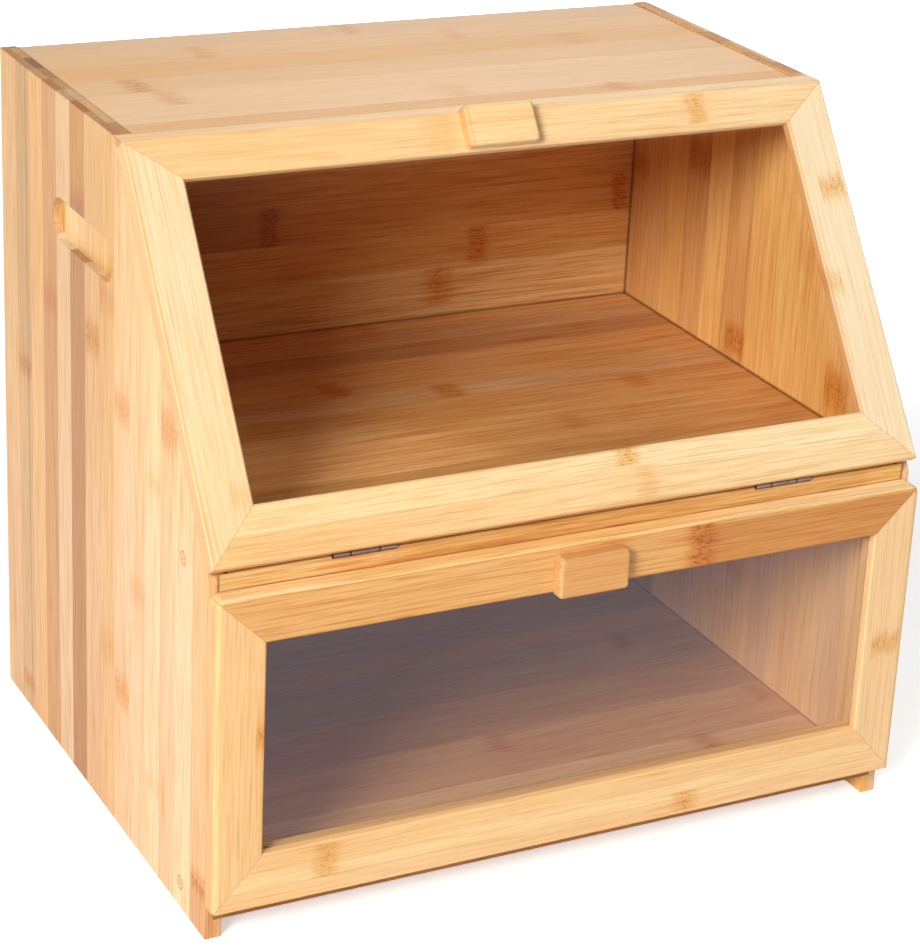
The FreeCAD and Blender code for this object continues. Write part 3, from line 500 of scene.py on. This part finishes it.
INNER_STRIP = 24
INNER_FIRST_EDGE = -154.5
RIGHT_INNER = "gold sun gold sun sun sun sun amber sun amber gold honey amber honey".split()
RIGHT_FACE = "peach cream ash tan peach cream sand apricot peach drab straw peach shell apricot".split()
RIGHT_KNUCKLES = (
    (306, 73.5, 12, 11, 1.1), (211, 22, 11, 9, 1.3), (216, -82, 12, 14, 1.1),
    (285, -46, 12, 12, 0.5), (282, 142, 12, 8, 0.7), (82, -14, 9, 6, 0.5),
)
right_side = bamboo(
    "right_side", "Z", "Y", ((-side_half, RIGHT_INNER), (0, RIGHT_FACE)),
    pitch=INNER_STRIP, first_edge=INNER_FIRST_EDGE, knuckles=RIGHT_KNUCKLES, depth=0.85,
    creases=(("Y", BACK_FRONT, "-X"), ("Z", SHELF_TOP, "-X")), recess=RECESS,
)
finish("side_panel_right", right_side)


# ------------------------------------------------------------------ top board
# The top is the same board with its grain from side to side. It lies between the side panels, a
# little below their upper edges.

TOP_TONES = "amber apricot apricot sand amber sand ash ash".split()
TOP_KNUCKLES = (
    (-101, 124, 13, 6, 0.6), (-157, 69, 13.5, 7, 0.9), (-149, 42, 13.5, 7, 0.7), (-2, 150, 12, 6, 0.6),
    (51, 124, 13, 6, 0.4), (113, 96, 13, 11, 0.4), (-1, 15, 13, 10, 0.4), (87, -2, 8, 8, 0.8),
)
top_wood = bamboo(
    "top_board", "X", "Y", ((0, TOP_TONES),), pitch=27.2, first_edge=-26,
    knuckles=TOP_KNUCKLES, depth=0.35,
    creases=(("X", -SIDE_INSIDE, "+Z"), ("X", SIDE_INSIDE, "+Z")),
)
finish("top_panel", top_wood)


# ------------------------------------------------------------------ back panel
# A thinner board that slides into grooves of the sides, with its grain from side to side. It is
# glued up from strips like the other boards and closes both spaces at the back.

BACK_TONES = """
    honey amber honey tan honey amber honey straw straw honey amber amber amber honey amber
""".split()
BACK_KNUCKLES = (
    (-47, 264, 12, 6, 1.9), (87, 240.5, 12, 7, 1.3), (62, 217, 12, 10, 1.0), (182, 264, 12, 5, 1.5),
    (-120, 310, 12, 7, 0.8), (20, 330, 12, 7, 0.8), (-90, 80, 12, 7, 0.8), (110, 120, 12, 7, 0.8),
)
# The upper strips at the left are darkened: painted shade where the left side keeps the light off the
# back.
BACK_PAINTED_SHADE = ((276.4, 23.8, 10, -100, (0.66, 0.50, 0.32)),)
BACK_CREASES = (("X", -SIDE_INSIDE, "-Y"), ("X", SIDE_INSIDE, "-Y"), ("Z", SHELF_TOP, "-Y"))
back_wood = bamboo(
    "back_board", "X", "Z", ((0, BACK_TONES),), pitch=23.8, first_edge=14.6,
    knuckles=BACK_KNUCKLES, depth=1.2, stretches=BACK_PAINTED_SHADE, creases=BACK_CREASES,
)
finish("back_panel", back_wood)


# ------------------------------------------------------------------ middle shelf and bottom board
# Both are housed in the sides. The shelf is the floor of the upper space, and its front edge shows
# as a narrow rail between the door and the drawer.

SHELF_TONES = "honey honey amber amber amber amber amber amber sand amber amber tan sand corn".split()
SHELF_KNUCKLES = (
    (-46, 57, 10.8, 8, 1.4), (14, 36, 10.8, 9, 1.2), (122, 14, 10.8, 8, 0.8), (57, -29, 10.8, 7, 0.6),
    (-104, 78, 10.8, 7, 0.5), (12, 142, 8, 6, 0.6),
)
# The first two stretches lighten the front left of the shelf top: a painted pool of the light that
# falls in through the pane.
SHELF_STRETCHES_AND_PAINTED_LIGHT = (
    (-40, 21.5, 25, -45, (1.30, 1.38, 1.62)), (-7.75, 10.75, 0, -60, (1.18, 1.32, 1.60)),
    (0, 130, -10, 50, (0.95, 0.94, 1.03)), (-143, 3, -120, -80, (0.86, 0.87, 0.79)),
    (-143, 3, -120, -150, (0.98, 1.15, 1.28)), (-143, 3, 165, 182, (1.14, 1.25, 1.28)),
)
SHELF_END = 195.4
SHELF_CREASES = (
    ("X", -SIDE_INSIDE, "+Z"), ("X", SIDE_INSIDE, "+Z"), ("Y", BACK_FRONT, "+Z"),
    ("X", -SHELF_END, "-Y"), ("X", SHELF_END, "-Y"),
)
shelf_wood = bamboo(
    "shelf", "X", "Y", ((0, SHELF_TONES),), pitch=21.5, first_edge=-147.5,
    knuckles=SHELF_KNUCKLES, depth=1.25, stretches=SHELF_STRETCHES_AND_PAINTED_LIGHT, creases=SHELF_CREASES,
)
finish("middle_shelf", shelf_wood)

BOTTOM_TONES = "honey tan honey amber honey peach tan honey apricot tan honey amber tan honey".split()
# The whole front edge of the bottom board is darkened: painted shade under the drawer front, with some
# dust.
BOTTOM_FRONT_PAINTED_SHADE = (("Y", -143.75, "-Y"),)
bottom_wood = bamboo(
    "bottom_board", "X", "Y", ((0, BOTTOM_TONES),), pitch=22, first_edge=-148,
    creases=BOTTOM_FRONT_PAINTED_SHADE,
)
finish("bottom_panel", bottom_wood)


# ------------------------------------------------------------------ screws, plugs and dowels
# One screw runs through each side into the shelf and another into the bottom board, and a bamboo
# plug covers each head. Beech dowels hold the top board.

RIM_STARTS, RIM_FULL, RIM_ENDS = 0.76, 0.96, 1.5
TURNED_BUMP, TURNED_HEIGHT = 0.3, 0.0002


def turned_wood(name, colour, flecks, rims=(), radius=0.0):
    """Wood turned on a lathe: a plug, a dowel. rims are the middles (Y, Z) of the ends that show,
    with dust in the joint round them."""
    made, tree = blank_material(name)
    place = wire(tree, "TexCoord").outputs["Object"]
    fine = cloudy(tree, place, 500, 900, 3.0)
    dark = fade(tree, fine, 0.40, 0.66)
    shade = stained(tree, (*colour, 1), dark, flecks)
    for middle in rims:
        flat = wire(tree, "VectorMath", {0: place, 1: (0, 1, 1)}, operation="MULTIPLY").outputs[0]
        ends = {0: flat, 1: (0, *middle)}
        away = wire(tree, "VectorMath", ends, operation="DISTANCE").outputs["Value"]
        rim = fade(tree, away, RIM_STARTS * radius, RIM_FULL * radius)
        near = sums(tree, "LESS_THAN", away, RIM_ENDS * radius)
        rim = sums(tree, "MULTIPLY", rim, near)
        dusty = sums(tree, "MULTIPLY", rim, fade(tree, fine, 0.38, 0.58))
        shade = stained(tree, shade, dusty, DUST_AND_PAINTED_SHADE)
    feeds = {"Height": fine, "Strength": TURNED_BUMP, "Distance": TURNED_HEIGHT}
    bump = wire(tree, "Bump", feeds).outputs[0]
    rough = sums(tree, "MULTIPLY_ADD", fine, 0.2, 0.45)
    wood = {"Base Color": shade, "Roughness": rough, "Normal": bump}
    wire(tree, "OutputMaterial", {"Surface": wire(tree, "BsdfPrincipled", wood).outputs[0]})
    return made


DIRT = (0.12, 0.08, 0.06)
DIRT_REACH, DIRT_FULL = 0.0006, 0.0002
TARNISH = (0.80, 0.76, 0.72)
RUBBED_BUMP, RUBBED_HEIGHT = 0.15, 0.0001


def bright_steel(name, roughness, shade, gaps=()):
    """Plated steel, with fine rubbed lines and a little tarnish. gaps are the places along X,
    in millimetres, of the joints where dirt sits."""
    made, tree = blank_material(name)
    place = wire(tree, "TexCoord").outputs["Object"]
    rubbed = cloudy(tree, place, 120, 2600, 3.0)
    tarnish = fade(tree, cloudy(tree, place, 160, 160), 0.45, 0.70)
    colour = stained(tree, (*shade, 1), tarnish, TARNISH)
    along = wire(tree, "SeparateXYZ", {0: place}).outputs["X"]
    for gap in gaps:
        off = sums(tree, "ABSOLUTE", sums(tree, "SUBTRACT", along, gap * MM))
        colour = stained(tree, colour, fade(tree, off, DIRT_REACH, DIRT_FULL), DIRT)
    feeds = {"Height": rubbed, "Strength": RUBBED_BUMP, "Distance": RUBBED_HEIGHT}
    bump = wire(tree, "Bump", feeds).outputs[0]
    rough = sums(tree, "MULTIPLY_ADD", rubbed, 0.25, roughness)
    metal = {"Base Color": colour, "Metallic": 1.0, "Roughness": rough, "Normal": bump}
    wire(tree, "OutputMaterial", {"Surface": wire(tree, "BsdfPrincipled", metal).outputs[0]})
    return made


low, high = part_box("side_plugs")
PLUG_RADIUS = 0.004
plug_rims = [(low.y + PLUG_RADIUS, low.z + PLUG_RADIUS), (low.y + PLUG_RADIUS, high.z - PLUG_RADIUS)]
plug_wood = turned_wood("plug_wood", (0.86, 0.56, 0.26), (0.70, 0.52, 0.36), plug_rims, PLUG_RADIUS)
dowel_wood = turned_wood("dowel_wood", (0.78, 0.60, 0.40), (0.82, 0.72, 0.60))
screw_steel = bright_steel("screw_steel", 0.30, (0.62, 0.62, 0.64))
finish("side_plugs", plug_wood)
finish("top_dowels", dowel_wood)
finish("side_screws", screw_steel)


# ------------------------------------------------------------------ hinges
# Two small butt hinges of pressed steel join the door to the shelf's front edge. Each leaf is
# rolled round a pin and held by two screws.

KNUCKLE_JOINTS = (-127.25, -111.75, 111.75, 127.25)
hinge_steel = bright_steel("hinge_steel", 0.30, (0.29, 0.20, 0.17), KNUCKLE_JOINTS)
for part in ("shelf_leaf", "door_leaf", "pin"):
    for hand in ("left", "right"):
        finish(f"hinge_{part}_{hand}", hinge_steel)
finish("hinge_shelf_screws", screw_steel)
finish("hinge_door_screws", screw_steel)


# ------------------------------------------------------------------ upper door
# A mitred frame of four bamboo lengths that leans back on the sloping edges of the sides. Its
# pattern is laid out in the door's own lie: up the slope from the knee of the sides.

knee = Vector((0, -143.75, 193.4)) * MM
SLOPE = math.radians(-35)


def frame_length(name, piece, grain, tones, **figure):
    across = "X" if grain == "Z" else "Z"
    finish(piece, bamboo(name, grain, across, ((0, tones),), **figure))


door_lie = {"lean": SLOPE, "foot": knee}
PALER_TO_THE_RIGHT = ((0, 500, -170, 170, (1.03, 1.18, 1.42)),)
# Two dark bands along the right stile's inner edge: the first darkens the inner face, the second, on
# the front face beside it, is painted shade that dims the lamp's highlight there.
INNER_EDGE_DARK_AND_PAINTED_SHADE = ((172.5, 0.4, -1, 0, (0.62, 0.42, 0.25)), (173.4, 0.6, -1, 0, (0.78, 0.66, 0.52)))
# The first stretch darkens the outer chamfer: painted shade that dims the lamp's highlight on it. The
# second makes the stile paler in its upper part.
LEFT_STILE_TONE_AND_PAINTED_SHADE = (
    (-199.0, 1.1, -1, 0, (0.91, 0.81, 0.70)), (-185, 12.8, 80, 150, (0.99, 1.05, 1.14)),
)
frame_length(
    "door_left", "door_stile_left", "Z", ["butter", "butter"], pitch=14, first_edge=-200,
    knuckles=((38, -178, 6, 7, 0.4),), depth=0.50, stretches=LEFT_STILE_TONE_AND_PAINTED_SHADE, **door_lie,
)
frame_length(
    "door_right", "door_stile_right", "Z", ["ivory", "ivory"], pitch=14, first_edge=172,
    knuckles=((157, 190, 8, 7, 0.9), (105, 176, 6, 7, 0.6)), depth=0.40,
    stretches=INNER_EDGE_DARK_AND_PAINTED_SHADE, **door_lie,
)
frame_length(
    "door_foot", "door_rail_bottom", "X", ["corn", "straw"], pitch=14.5, first_edge=4.7,
    knuckles=((29, 29, 5, 7, 0.9), (37, 15, 9, 7, 0.45)), depth=0.65,
    stretches=PALER_TO_THE_RIGHT, **door_lie,
)
frame_length(
    "door_head", "door_rail_top", "X", ["corn", "corn"], pitch=11, first_edge=195.7,
    knuckles=((118, 208, 9, 6, 0.8), (-30, 207, 10, 13, 0.4)), depth=0.50,
    stretches=PALER_TO_THE_RIGHT, **door_lie,
)


# ------------------------------------------------------------------ panes
# Clear acrylic, two millimetres thick, with polished faces. It lets the light through and mirrors
# a little of what is in front of it.

PANE_CLEAR = (0.975, 0.98, 0.98, 1)
PANE_SHEEN = (0.92, 0.89, 1.0, 1)
MIRRORED_HEAD_ON = 0.039


def acrylic(name):
    made, tree = blank_material(name)
    place = wire(tree, "TexCoord").outputs["Object"]
    wipe = fade(tree, cloudy(tree, place, 9, 9), 0.40, 0.75)
    through = wire(tree, "BsdfTransparent", {"Color": PANE_CLEAR}).outputs[0]
    rough = sums(tree, "MULTIPLY_ADD", wipe, 0.02, 0.01)
    mirror = wire(tree, "BsdfGlossy", {"Color": PANE_SHEEN, "Roughness": rough}).outputs[0]
    slant = wire(tree, "LayerWeight", {"Blend": 0.5}).outputs["Facing"]
    grazing = sums(tree, "POWER", slant, 5.0)
    share = sums(tree, "MULTIPLY_ADD", grazing, 1 - MIRRORED_HEAD_ON, MIRRORED_HEAD_ON)
    both = wire(tree, "MixShader", {0: share, 1: through, 2: mirror}).outputs[0]
    wire(tree, "OutputMaterial", {"Surface": both})
    return made


finish("door_pane", acrylic("door_acrylic"))
finish("drawer_pane", acrylic("drawer_acrylic"))


# ------------------------------------------------------------------ door knob
# A small block of bamboo, sawn from a strip and sanded, with eased edges. Two screws from behind
# the frame hold it.

# The knob's left end is darkened: painted shade that dims the lamp's highlight there.
KNOB_END_PAINTED_SHADE = ((0, 400, -16.5, -19, (0.86, 0.74, 0.60)),)
knob_wood = bamboo(
    "door_knob", "X", "Z", ((0, ["straw"] * 3),), pitch=9, first_edge=190, depth=0.5,
    stretches=KNOB_END_PAINTED_SHADE, end_grain=0.25, **door_lie,
)
finish("door_knob", knob_wood)
finish("door_knob_screws", screw_steel)


# ------------------------------------------------------------------ drawer front
# A mitred frame like the door's, thicker and with a rounded front arris. Its four lengths are
# glued round the pane, and it has a knob of its own, screwed on from behind.

frame_length(
    "front_left", "drawer_stile_left", "Z", ["corn", "corn"], pitch=13, first_edge=-200,
    knuckles=((113, -176, 3, 7, 0.9),), depth=0.60,
)
frame_length(
    "front_right", "drawer_stile_right", "Z", ["corn", "corn"], pitch=13, first_edge=174,
    knuckles=((98, 188, 9, 7, 0.8),), depth=0.45,
    stretches=((188, 14, -1, 0, (0.99, 1.05, 1.20)),),
)
frame_length(
    "front_foot", "drawer_rail_bottom", "X", ["corn", "straw", "corn"], pitch=10, first_edge=19,
    knuckles=((-140, 38, 10, 7, 0.8), (68, 27, 6, 8, 0.9)), depth=0.50,
    stretches=((24, 5, -170, -120, (1.01, 1.03, 1.13)),),
)
# The first stretch is the strip's own shade beyond its knuckle. The other two, and the pale straw strip
# that starts just under the top, tint the rounded top arris: a painted highlight along it.
HEAD_TONE_AND_PAINTED_HIGHLIGHT = (
    (174, 12.4, 50, 74, (0.80, 0.66, 0.50)), (189, 1.8, -160, -110, (0.98, 0.92, 0.78)),
    (189, 1.8, 40, 130, (1.08, 1.28, 1.75)),
)
frame_length(
    "front_head", "drawer_rail_top", "X", ["amber", "straw", "straw"], pitch=25, first_edge=162.3,
    knuckles=((66, 176, 12, 9, 1.2), (-102, 164, 2, 6, 0.8)), depth=0.95,
    stretches=HEAD_TONE_AND_PAINTED_HIGHLIGHT,
)

# The knob's left end is lightened: painted light where its own end lies in shade.
FRONT_KNOB_END_PAINTED_LIGHT = ((0, 400, -16.5, -19, (0.96, 1.18, 1.40)),)
front_knob = bamboo(
    "drawer_knob", "X", "Z", ((0, ["russet"] * 3),), pitch=9, first_edge=160, depth=0.6,
    stretches=FRONT_KNOB_END_PAINTED_LIGHT, end_grain=0.25,
)
finish("drawer_knob", front_knob)
finish("drawer_knob_screws", screw_steel)
finish("drawer_front_dowels", dowel_wood)


# ------------------------------------------------------------------ drawer box
# Bamboo sides with upright grain, dowelled to the front, and a back screwed between them. The
# thin bottom lies in grooves all round.

DRAWER_SIDE_TONES = """
    honey sand honey honey sand honey honey honey sand honey tan honey honey tan
""".split()
for hand in ("left", "right"):
    marks = ((82, -14, 9, 6, 0.5),) if hand == "right" else ()
    piece = f"drawer_side_{hand}"
    side_wood = bamboo(
        piece, "Z", "Y", ((0, DRAWER_SIDE_TONES),), pitch=22, first_edge=-146,
        knuckles=marks, depth=0.7,
    )
    finish(piece, side_wood)

BACK_STRIPS = ["honey", "tan"] * 4
behind_wood = bamboo("drawer_back", "X", "Z", ((0, BACK_STRIPS),), pitch=20, first_edge=15)
finish("drawer_back", behind_wood)

# The strips darken from front to back: painted shade deeper in the drawer, laid over the wood's own
# tones.
FLOOR_TONES_WITH_PAINTED_SHADE = "sand sand sand tan tan taupe taupe umber umber taupe umber taupe umber taupe".split()
FLOOR_KNUCKLES = (
    (5, -62, 11, 7, 0.8), (113, -104, 10, 8, 1.0), (131, 26, 10.8, 8, 0.9), (172, -63, 10, 7, 0.8),
)
DRAWER_INSIDE = 181
floor_wood = bamboo(
    "drawer_floor", "X", "Y", ((0, FLOOR_TONES_WITH_PAINTED_SHADE),), pitch=22, first_edge=-161.5,
    knuckles=FLOOR_KNUCKLES, depth=0.9,
    creases=(("X", -DRAWER_INSIDE, "+Z"), ("X", DRAWER_INSIDE, "+Z")),
)
finish("drawer_bottom", floor_wood)
finish("drawer_back_screws", screw_steel)
